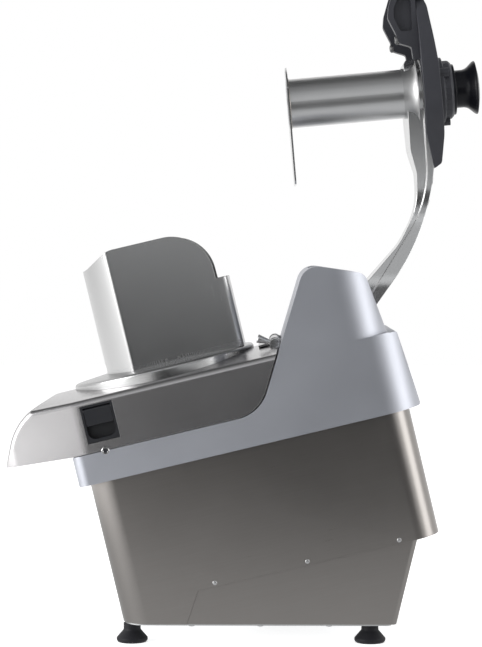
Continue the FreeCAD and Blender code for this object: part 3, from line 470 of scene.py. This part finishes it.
class CutterFinishSettings(bpy.types.PropertyGroup):
    """Colours and gloss of the machine's finishes."""

    casing_dark: bpy.props.FloatVectorProperty(
        name="Casing, dark", description="Dark tone of the brushed motor casing", subtype="COLOR", size=4,
        default=(0.245, 0.232, 0.220, 1.0), min=0.0, max=1.0)
    casing_light: bpy.props.FloatVectorProperty(
        name="Casing, light", description="Light tone of the brushed motor casing", subtype="COLOR", size=4,
        default=(0.335, 0.315, 0.300, 1.0), min=0.0, max=1.0)
    cover_dark: bpy.props.FloatVectorProperty(
        name="Cover, dark", description="Dark tone of the brushed cover", subtype="COLOR", size=4,
        default=(0.42, 0.41, 0.415, 1.0), min=0.0, max=1.0)
    cover_light: bpy.props.FloatVectorProperty(
        name="Cover, light", description="Light tone of the brushed cover", subtype="COLOR", size=4,
        default=(0.56, 0.55, 0.555, 1.0), min=0.0, max=1.0)
    casting_dark: bpy.props.FloatVectorProperty(
        name="Casting, dark", description="Dark tone of the aluminium casting", subtype="COLOR", size=4,
        default=(0.425, 0.435, 0.475, 1.0), min=0.0, max=1.0)
    casting_light: bpy.props.FloatVectorProperty(
        name="Casting, light", description="Light tone of the aluminium casting", subtype="COLOR", size=4,
        default=(0.505, 0.52, 0.56, 1.0), min=0.0, max=1.0)
    black: bpy.props.FloatVectorProperty(
        name="Black plastic", description="Dark tone of the lever's moulded head and handle", subtype="COLOR",
        size=4, default=(0.016, 0.017, 0.021, 1.0), min=0.0, max=1.0)
    steel_roughness: bpy.props.FloatProperty(
        name="Steel roughness", description="Roughness of the brushed sheet", default=0.26, min=0.05, max=1.0)


RING_TOP = 84.6
OWN_FINISH = {
    "feed_hopper": "hopper_steel",
    "feed_tube": "tube_steel",
    "pusher_plate": "pusher_steel",
    "catch_frame_left": "catch_plastic",
    "catch_frame_right": "catch_plastic",
    "catch_paddle_left": "catch_plastic",
    "catch_paddle_right": "catch_plastic",
}


class CUTTER_OT_finishes(bpy.types.Operator):
    """Give every construction piece its finish"""

    bl_idname = "cutter.finishes"
    bl_label = "Finishes"

    def execute(self, context):
        look = context.scene.cutter_finishes
        self.make_steels(look, look.steel_roughness)
        self.make_castings(look)
        self.make_mouldings(look)
        turned_metal("disc_aluminium", grey(0.56), grey(0.70), 0.28, LATHE_RINGS)
        sintered_bronze("bronze", (0.36, 0.22, 0.09, 1.0), (0.58, 0.40, 0.20, 1.0), 0.35)
        weld_metal("weld_metal")
        for part in frame["record"]["subparts"]:
            materials = frame["nodes"][part["node"]].data.materials
            materials.clear()
            materials.append(finishes[OWN_FINISH.get(part["node"], part["material_slot"])])
        return {"FINISHED"}

    def make_steels(self, look, rough):
        """Brushed sheet and tube: dark and light tone, lean, grain and roughness of each."""
        steels = {
            "casing_steel": (look.casing_dark, look.casing_light, TILT, ALONG_SLOPE, rough + 0.03),
            "cover_steel": (look.cover_dark, look.cover_light, TILT, ALONG_SLOPE, rough),
            "hopper_steel": (grey(0.35), grey(0.47), TILT, UPRIGHT, rough, RING_TOP * MM),
            "lever_steel": (grey(0.58), grey(0.74), 0.0, UPRIGHT, rough - 0.02),
            "tube_steel": (grey(0.50), grey(0.66), TUBE_LEAN, ALONG_SLOPE, rough + 0.08),
            # The flare's steel is the tube's steel painted darker, as painted shade that dims the lamp's hot
            # spot in its hollow.
            "flare_steel": (grey(0.42), grey(0.56), TUBE_LEAN, ALONG_SLOPE, rough + 0.16),
            "pusher_steel": (grey(0.60), grey(0.76), TUBE_LEAN, UPRIGHT, rough),
            "polished_steel": (grey(0.60), grey(0.74), 0.0, CROSSWISE, 0.2),
        }
        for name, values in steels.items():
            brushed_steel(name, *values)

    def make_castings(self, look):
        """Castings and plated parts: dark and light tone, roughness, size of grain and its depth."""
        castings = {
            "cast_aluminium": (look.casting_dark, look.casting_light, 0.45, 1800.0, 0.12),
            "plated_steel": (grey(0.50), grey(0.64), 0.34, 300.0, 0.03),
            "screw_steel": (grey(0.16), grey(0.26), 0.4, 900.0, 0.03),
            "rivet_steel": (grey(0.42), grey(0.58), 0.35, 900.0, 0.03),
        }
        for name, values in castings.items():
            cast_metal(name, *values)

    def make_mouldings(self, look):
        """Plastics and rubber: dark and light tone, roughness, size of grain, its depth, coat and gloss."""
        mouldings = {
            "foot_rubber": ((0.006, 0.006, 0.008, 1.0), (0.013, 0.013, 0.017, 1.0), 0.55, 900.0, 0.2,
                            0.0, 0.3),
            "black_plastic": (look.black, (0.050, 0.051, 0.062, 1.0), 0.46, 1800.0, 0.15, 0.0, 0.4),
            "pestle_plastic": ((0.004, 0.0042, 0.006, 1.0), (0.008, 0.0085, 0.012, 1.0), 0.3, 900.0, 0.04,
                               0.0, 0.2),
            "catch_plastic": ((0.005, 0.0055, 0.008, 1.0), (0.011, 0.012, 0.016, 1.0), 0.4, 900.0, 0.08),
            "white_plastic": (grey(0.70), grey(0.80), 0.4, 500.0, 0.06),
            "motor_paint": ((0.05, 0.055, 0.065, 1.0), (0.075, 0.08, 0.095, 1.0), 0.45, 300.0, 0.1),
            "green_plastic": ((0.02, 0.22, 0.07, 1.0), (0.03, 0.28, 0.09, 1.0), 0.3, 600.0, 0.04, 0.3),
            "red_plastic": ((0.38, 0.02, 0.02, 1.0), (0.46, 0.03, 0.03, 1.0), 0.3, 600.0, 0.04, 0.3),
        }
        for name, values in mouldings.items():
            moulded(name, *values)


class CutterEdgeSettings(bpy.types.PropertyGroup):
    """Softness of the visible edges."""

    cast_edge: bpy.props.FloatProperty(
        name="Casting edge", description="Radius on the edges of the casting", default=0.0012, unit="LENGTH")
    sheet_edge: bpy.props.FloatProperty(
        name="Sheet edge", description="Broken edge of the bent sheet", default=0.0003, unit="LENGTH")
    arm_edge: bpy.props.FloatProperty(
        name="Arm edge", description="Radius on the bends of the lever arm", default=0.0007, unit="LENGTH")
    moulded_edge: bpy.props.FloatProperty(
        name="Moulded edge", description="Radius on the edges of black mouldings",
        default=0.0010, unit="LENGTH")


FREE_EDGES = ("motor_casing", "stand_shell", "front_cover", "feed_hopper", "lever_arm")
BEVEL_ABOVE = math.radians(34)
FLAT_BELOW = math.radians(0.3)
JOIN_WITHIN = 0.00002
SLIVER_WITHIN = 0.00001


def welded_copy(node):
    """Mesh of a construction piece with its loose triangles joined, flat where they share a plane."""
    mesh = frame["nodes"][node].data.copy()
    if "custom_normal" in mesh.attributes:
        mesh.attributes.remove(mesh.attributes["custom_normal"])
    work = bmesh.new()
    work.from_mesh(mesh)
    bmesh.ops.remove_doubles(work, verts=work.verts, dist=JOIN_WITHIN)
    bmesh.ops.dissolve_degenerate(work, edges=work.edges, dist=SLIVER_WITHIN)
    bmesh.ops.dissolve_limit(work, angle_limit=FLAT_BELOW, verts=work.verts, edges=work.edges)
    work.to_mesh(mesh)
    work.free()
    mesh.polygons.foreach_set("use_smooth", [True] * len(mesh.polygons))
    mesh.set_sharp_from_angle(angle=SKIN_CREASE)
    return mesh


def softened(node, edge):
    """A copy of a construction piece with rounded edges, shown in its place.

    Apart from the bent sheets, the edges stop where they would run into each other.
    """
    piece = place_piece(node + "_skin", welded_copy(node), frame["nodes"][node]["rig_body"])
    bevel = piece.modifiers.new("edges", "BEVEL")
    bevel.width = edge
    bevel.segments = 2
    bevel.limit_method = "ANGLE"
    bevel.angle_limit = BEVEL_ABOVE
    bevel.harden_normals = True
    bevel.use_clamp_overlap = node not in FREE_EDGES
    bevel.miter_outer = "MITER_ARC"
    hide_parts(node)


class CUTTER_OT_edges(bpy.types.Operator):
    """Show the visible castings, pressings and mouldings with softened edges"""

    bl_idname = "cutter.edges"
    bl_label = "Softened edges"

    def execute(self, context):
        sizes = context.scene.cutter_edges
        edges = {
            "body_casting": sizes.cast_edge,
            "motor_casing": sizes.sheet_edge,
            "stand_shell": sizes.sheet_edge,
            "front_cover": sizes.sheet_edge,
            "feed_hopper": sizes.sheet_edge,
            "lever_arm": sizes.arm_edge,
            "head_plate": sizes.moulded_edge,
            "handle_grip": sizes.moulded_edge,
            "tube_collar": sizes.moulded_edge,
        }
        for node, edge in edges.items():
            softened(node, edge)
        return {"FINISHED"}


class CutterFastenerSettings(bpy.types.PropertyGroup):
    """Sizes of rivets, pins and screws."""

    rivet_radius: bpy.props.FloatProperty(
        name="Rivet radius", description="Radius of the dome rivets under the seam",
        default=0.0026, unit="LENGTH")
    rivet_height: bpy.props.FloatProperty(
        name="Rivet height", description="Height of the rivet domes", default=0.0008, unit="LENGTH")
    pin_radius: bpy.props.FloatProperty(
        name="Latch pin radius", description="Outer radius of the latch pins' heads",
        default=0.0045, unit="LENGTH")
    pin_bore: bpy.props.FloatProperty(
        name="Latch pin bore", description="Radius of the recess in each latch pin",
        default=0.0027, unit="LENGTH")
    screw_radius: bpy.props.FloatProperty(
        name="Screw radius", description="Radius of the pan-head screws", default=0.0050, unit="LENGTH")


SIDEWAYS = {-1: (0.0, -math.pi / 2, 0.0), 1: (0.0, math.pi / 2, 0.0)}
DOWNWARD = (math.pi, 0.0, 0.0)
CASING_HALF = 119.0
SKIRT_HALF = 126.55
SEAM_FRONT = Vector((-16.0, -183.5))
SEAM_REAR = Vector((245.0, -184.7))
RIVETS_ALONG = (5.0, 115.0, 224.0)
RIVET_ABOVE_SEAM = 4.5
LATCH_PIN_PLACE = (-81.5, 0.0)
HANDLE_SCREW_PLACE = (51.0, -75.0, 203.5)
BASE_LEVEL = 22.0
BASE_SCREW_SIDE = 105.5
BASE_SCREW_ROWS = (-60.0, 20.0, 100.0)
BASE_SCREW_ENDS = [(0.0, -128.0), (-60.0, 162.0), (60.0, 162.0)]


def screw_profile(radius, height):
    """Pan head with a round-bottomed driving recess."""
    bore = radius * 0.45
    return [(0, -height * 0.1), (radius, -height * 0.1), (radius, height * 0.55),
            (radius * 0.86, height * 0.85), (radius * 0.6, height), (bore, height),
            (bore * 0.95, height * 0.35), (0, height * 0.2)]


class CUTTER_OT_fasteners(bpy.types.Operator):
    """Add the seam rivets, latch pins and screws"""

    bl_idname = "cutter.fasteners"
    bl_label = "Rivets, pins and screws"

    def execute(self, context):
        sizes = context.scene.cutter_fasteners
        tree = heads_tree()
        self.add_rivets(tree, sizes.rivet_radius / MM, sizes.rivet_height / MM)
        self.add_latch_pins(tree, sizes.pin_radius / MM, sizes.pin_bore / MM)
        self.add_screws(tree, sizes.screw_radius / MM)
        return {"FINISHED"}

    def add_heads(self, tree, piece, profile, places, node, finish, matrix, replaced=True):
        """Sets a turned head on every place, on the body of a node, which the heads may replace."""
        with pattern_piece(turned_mesh(piece + "_head", profile)) as head:
            values = {"Head": head, "Size": 1.0, "Finish": finishes[finish]}
            made = tree.make(piece, points_mesh(places), values, frame["nodes"][node]["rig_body"],
                             slot_of(node), matrix)
        if replaced:
            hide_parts(node)

    def add_rivets(self, tree, radius, height):
        rise = (SEAM_REAR.y - SEAM_FRONT.y) / (SEAM_REAR.x - SEAM_FRONT.x)
        seat = -0.3
        profile = [(0, seat), (radius, seat), (radius, height * 0.3), (radius * 0.85, height * 0.65),
                   (radius * 0.5, height * 0.93), (0, height)]
        places = []
        for along in RIVETS_ALONG:
            level = SEAM_FRONT.y + rise * (along - SEAM_FRONT.x) + RIVET_ABOVE_SEAM
            places += [(side * CASING_HALF, along, level, turn) for side, turn in SIDEWAYS.items()]
        self.add_heads(tree, "seam_rivet_domes", profile, places, "seam_rivets", "rivet_steel",
                       tilted_matrix())

    def add_latch_pins(self, tree, radius, bore):
        """Pins flush with the cover's skirt, each with a black plug deep in its bore as painted shade for the
        bore's depth.
        """
        shank, chamfer, recess = -12, 0.4, -3.2
        ring = [(0, shank), (radius, shank), (radius, -chamfer), (radius - 0.5, 0), (bore + 0.3, 0),
                (bore, -0.3), (bore, recess), (0, -4.0)]
        places = [(side * SKIRT_HALF, *LATCH_PIN_PLACE, turn) for side, turn in SIDEWAYS.items()]
        self.add_heads(tree, "latch_pin_heads", ring, places, "side_pins", "polished_steel", tilted_matrix())
        # The black plug is painted shade: it darkens the bore, which its depth alone would shade.
        shade_plug_radius = bore * 0.94
        shade_plug = [(0, -3.9), (shade_plug_radius, recess), (shade_plug_radius, -2.0), (bore * 0.6, -2.3), (0, -2.4)]
        self.add_heads(tree, "latch_pin_sockets", shade_plug, places, "catch_frame_right", "black_plastic",
                       tilted_matrix(), replaced=False)

    def add_screws(self, tree, radius):
        across, along, level = HANDLE_SCREW_PLACE
        places = [(side * across, along, level, DOWNWARD) for side in SIDEWAYS]
        self.add_heads(tree, "handle_screw_heads", screw_profile(radius, height=4.6), places, "handle_screws",
                       "screw_steel", raised_matrix())
        rows = [(side * BASE_SCREW_SIDE, y) for y in BASE_SCREW_ROWS for side in SIDEWAYS]
        rows += BASE_SCREW_ENDS
        places = [(x, y, BASE_LEVEL, DOWNWARD) for x, y in rows]
        self.add_heads(tree, "base_screws", screw_profile(radius * 0.8, height=2.2), places, "base_plate",
                       "plated_steel", Matrix.Scale(MM, 4), replaced=False)


class CutterSeamSettings(bpy.types.PropertyGroup):
    """Sizes of the weld bead and grip ribs."""

    bead_radius: bpy.props.FloatProperty(
        name="Weld bead radius", description="Radius of the weld bead", default=0.0009, unit="LENGTH")
    ripple: bpy.props.FloatProperty(
        name="Weld ripple", description="Share by which a bead's thickness varies",
        default=0.14, min=0.0, max=0.5)
    rib_count: bpy.props.IntProperty(
        name="Rib count", description="Number of grip ribs round the tube's collar", default=30, min=3)
    rib_depth: bpy.props.FloatProperty(
        name="Rib depth", description="How far a grip rib stands out", default=0.0005, unit="LENGTH")


class CUTTER_OT_welds(bpy.types.Operator):
    """Add the weld bead between the feed tube and the pusher plate"""

    bl_idname = "cutter.welds"
    bl_label = "Weld bead"

    def execute(self, context):
        sizes = context.scene.cutter_seams
        plate_top, gap = 69.6, 0.1
        run = loop_mesh(circle_points(TUBE_RADIUS + gap, plate_top, TUBE_CENTRE))
        values = {"Radius": sizes.bead_radius / MM, "Ripple": sizes.ripple,
                  "Finish": finishes["weld_metal"]}
        bead_tree().make("plate_weld", run, values, "lever", slot_of("pusher_plate"), raised_matrix())
        return {"FINISHED"}


class CUTTER_OT_flare(bpy.types.Operator):
    """Add the drawn flare with which the lever arm runs into the feed tube"""

    bl_idname = "cutter.flare"
    bl_label = "Tube flare"

    def execute(self, context):
        arm_level, reach, depth, steps = 221.0, 8.5, 17.0, 8
        inner, outer = TUBE_RADIUS - 0.4, TUBE_RADIUS + 0.15
        foot = (inner, arm_level - depth)
        profile = [foot]
        for i in range(steps + 1):
            angle = math.pi / 2 * i / steps
            profile.append((outer + reach * (1 - math.cos(angle)), arm_level - depth * (1 - math.sin(angle))))
        profile += [(inner, arm_level), foot]
        mesh = turned_mesh("tube_flare", profile, 64)
        mesh.transform(raised_matrix() @ Matrix.Translation((*TUBE_CENTRE, 0.0)))
        mesh.polygons.foreach_set("use_smooth", [True] * len(mesh.polygons))
        mesh.set_sharp_from_angle(angle=FLARE_CREASE)
        # Darker copy of the tube's steel: painted shade on the flare's hollow.
        mesh.materials.append(finishes["flare_steel"])
        place_piece("tube_flare", mesh, "lever")
        return {"FINISHED"}


class CUTTER_OT_ribs(bpy.types.Operator):
    """Add the grip ribs round the feed tube's collar"""

    bl_idname = "cutter.ribs"
    bl_label = "Collar ribs"

    def execute(self, context):
        sizes = context.scene.cutter_seams
        collar_radius, foot, height, width = 34.3, 253.2, 5.6, 1.9
        matrix = raised_matrix() @ Matrix.Translation((*TUBE_CENTRE, foot))
        with pattern_piece(rib_mesh(sizes.rib_depth / MM, width, height)) as rib:
            values = {"Piece": rib, "Count": sizes.rib_count, "Radius": collar_radius,
                      "Finish": finishes["black_plastic"]}
            wheel_tree().make("collar_ribs", points_mesh([]), values, "lever", "black_plastic", matrix)
        return {"FINISHED"}


class CutterStageSettings(bpy.types.PropertyGroup):
    """Camera and light of the studio."""

    camera_distance: bpy.props.FloatProperty(
        name="Camera distance", description="Distance of the camera from the middle plane",
        default=2.526, unit="LENGTH")
    camera_side: bpy.props.FloatProperty(
        name="Camera side", description="Place of the camera along the machine",
        default=0.0311, unit="LENGTH")
    camera_height: bpy.props.FloatProperty(
        name="Camera height", description="Height of the camera above the worktop",
        default=0.452, unit="LENGTH")
    focal_pixels: bpy.props.FloatProperty(
        name="Focal length in pixels", description="Focal length in pixels of the photograph's frame",
        default=2089.0)


class CUTTER_OT_stage(bpy.types.Operator):
    """Add the worktop, backdrop, lamps and camera"""

    bl_idname = "cutter.stage"
    bl_label = "Stage"

    def execute(self, context):
        settings = context.scene.cutter_stage
        scene = context.scene
        scene.view_settings.view_transform = "Standard"
        self.add_floor()
        self.add_cards()
        self.add_world(scene)
        self.add_lamps()
        self.add_camera(scene, settings)
        return {"FINISHED"}

    def add_plane(self, name, corners):
        mesh = bpy.data.meshes.new(name)
        mesh.from_pydata(corners, [], [(0, 1, 2, 3)])
        plane = bpy.data.objects.new(name, mesh)
        bpy.context.collection.objects.link(plane)
        return plane

    def add_floor(self):
        """White worktop that reads as the white backdrop and still takes the machine's shadow."""
        reach, end = 6.0, 3.3
        tone, glow = 0.80, 0.72
        floor = self.add_plane("floor", [(-reach, -reach, 0), (end, -reach, 0), (end, reach, 0),
                                         (-reach, reach, 0)])
        finish = Finish("floor_white", Roughness=0.9)
        finish.set("Base Color", grey(tone))
        finish.set("Emission Color", grey(1.0))
        finish.set("Emission Strength", finish.seen() * glow)
        floor.data.materials.append(finish.material)

    def add_cards(self):
        """Dark, grey and bright cards round the machine, which only reflections show.

        Each card spans from one rail to the next, given by their (x, z), from a start to the far side.
        """
        near, far, bend, middle, back = 0.95, 2.3, 1.6, 0.4, -1.5
        level, shade, knee, top = 0.002, 0.70, 1.5, 2.4
        front, side = -0.62, 2.0
        cards = {
            "grey_floor": ((-near, level), (near, level), front, 0.68),
            "dark_floor": ((near, level), (far, level), front, 0.02),
            "dark_curtain": ((far, 0.0), (far, shade), front, 0.02),
            "bright_screen": ((far, shade), (far, knee), -side, 0.75),
            "dim_screen": ((far, knee), (bend, top), -side, 0.5),
            "front_ceiling": ((bend, top), (middle, top), -side, 0.25),
            "dark_ceiling": ((middle, top), (back, top), -side, 0.07),
        }
        for name, (first, last, start, strength) in cards.items():
            corners = [(first[0], start, first[1]), (first[0], side, first[1]),
                       (last[0], side, last[1]), (last[0], start, last[1])]
            self.add_card(name, corners, strength)

    def add_card(self, name, corners, strength):
        card = self.add_plane(name, corners)
        card.visible_camera = False
        card.visible_diffuse = False
        card.visible_shadow = False
        finish = Finish(name, Roughness=0.9)
        finish.set("Base Color", grey(0.02))
        finish.set("Emission Color", (0.97, 0.985, 1.0, 1.0))
        finish.set("Emission Strength", strength)
        card.data.materials.append(finish.material)

    def add_world(self, scene):
        """White where it is seen, and dimmer as light, so that the machine keeps its tones."""
        lit, shown = grey(0.45), grey(1.0)
        world = bpy.data.worlds.new("studio")
        world.use_nodes = True
        work = NodeWork(world.node_tree)
        background = work.tree.nodes["Background"]
        work.feed(background.inputs["Color"], work.mix(work.seen(), lit, shown))
        background.inputs["Strength"].default_value = 1.0
        scene.world = world

    def add_lamps(self):
        """Soft boxes: place, aim, width and height, power, and whether reflections show them."""
        lamps = {
            "front_softbox": ((0.9, -2.2, 0.75), (0, -0.15, 0.35), (1.6, 1.5), 40, True),
            "rear_softbox": ((0.6, 2.3, 0.75), (0, 0.15, 0.35), (1.3, 1.5), 14, True),
            "top_softbox": ((0.2, -0.1, 2.3), (0, 0, 0.3), (1.6, 2.0), 24, False),
        }
        for name, (place, aim, size, power, reflected) in lamps.items():
            light = bpy.data.lights.new(name, "AREA")
            light.shape = "RECTANGLE"
            light.size, light.size_y = size
            light.energy = power
            lamp = bpy.data.objects.new(name, light)
            lamp.location = place
            lamp.rotation_euler = (Vector(aim) - Vector(place)).to_track_quat("-Z", "Y").to_euler()
            lamp.visible_glossy = reflected
            bpy.context.collection.objects.link(lamp)

    def add_camera(self, scene, settings):
        """Camera of the photograph: its frame and principal point in pixels, looking along -X."""
        width, height = 482, 647
        principal = (270.0, 255.0)
        data = bpy.data.cameras.new("camera")
        data.sensor_width = 36.0
        data.lens = settings.focal_pixels * data.sensor_width / height
        camera = bpy.data.objects.new("camera", data)
        camera.location = (settings.camera_distance, settings.camera_side, settings.camera_height)
        aim = Vector((-settings.focal_pixels, width / 2 - principal[0], principal[1] - height / 2))
        camera.rotation_euler = aim.to_track_quat("-Z", "Y").to_euler()
        bpy.context.collection.objects.link(camera)
        scene.camera = camera


PIECES = (CUTTER_OT_finishes, CUTTER_OT_edges, CUTTER_OT_fasteners, CUTTER_OT_welds, CUTTER_OT_flare,
          CUTTER_OT_ribs, CUTTER_OT_stage)


class CUTTER_PT_panel(bpy.types.Panel):
    """Sidebar panel with one button for each piece."""

    bl_idname = "CUTTER_PT_panel"
    bl_label = "Vegetable cutter"
    bl_space_type = "VIEW_3D"
    bl_region_type = "UI"
    bl_category = "Cutter"

    def draw(self, context):
        for piece in PIECES:
            self.layout.operator(piece.bl_idname)
        for name in SETTINGS:
            group = getattr(context.scene, name)
            for field in group.bl_rna.properties:
                if field.identifier not in ("rna_type", "name"):
                    self.layout.prop(group, field.identifier)


SETTINGS = {
    "cutter_finishes": CutterFinishSettings,
    "cutter_edges": CutterEdgeSettings,
    "cutter_fasteners": CutterFastenerSettings,
    "cutter_seams": CutterSeamSettings,
    "cutter_stage": CutterStageSettings,
}


def register():
    for name, group in SETTINGS.items():
        bpy.utils.register_class(group)
        setattr(bpy.types.Scene, name, bpy.props.PointerProperty(type=group))
    for piece in PIECES + (CUTTER_PT_panel,):
        bpy.utils.register_class(piece)


def unregister():
    for piece in reversed(PIECES + (CUTTER_PT_panel,)):
        bpy.utils.unregister_class(piece)
    for name, group in SETTINGS.items():
        delattr(bpy.types.Scene, name)
        bpy.utils.unregister_class(group)


def main():
    register()
    bpy.ops.cutter.finishes()
    bpy.ops.cutter.edges()
    bpy.ops.cutter.fasteners()
    bpy.ops.cutter.welds()
    bpy.ops.cutter.flare()
    bpy.ops.cutter.ribs()
    bpy.ops.cutter.stage()


if __name__ == "__main__":
    main()
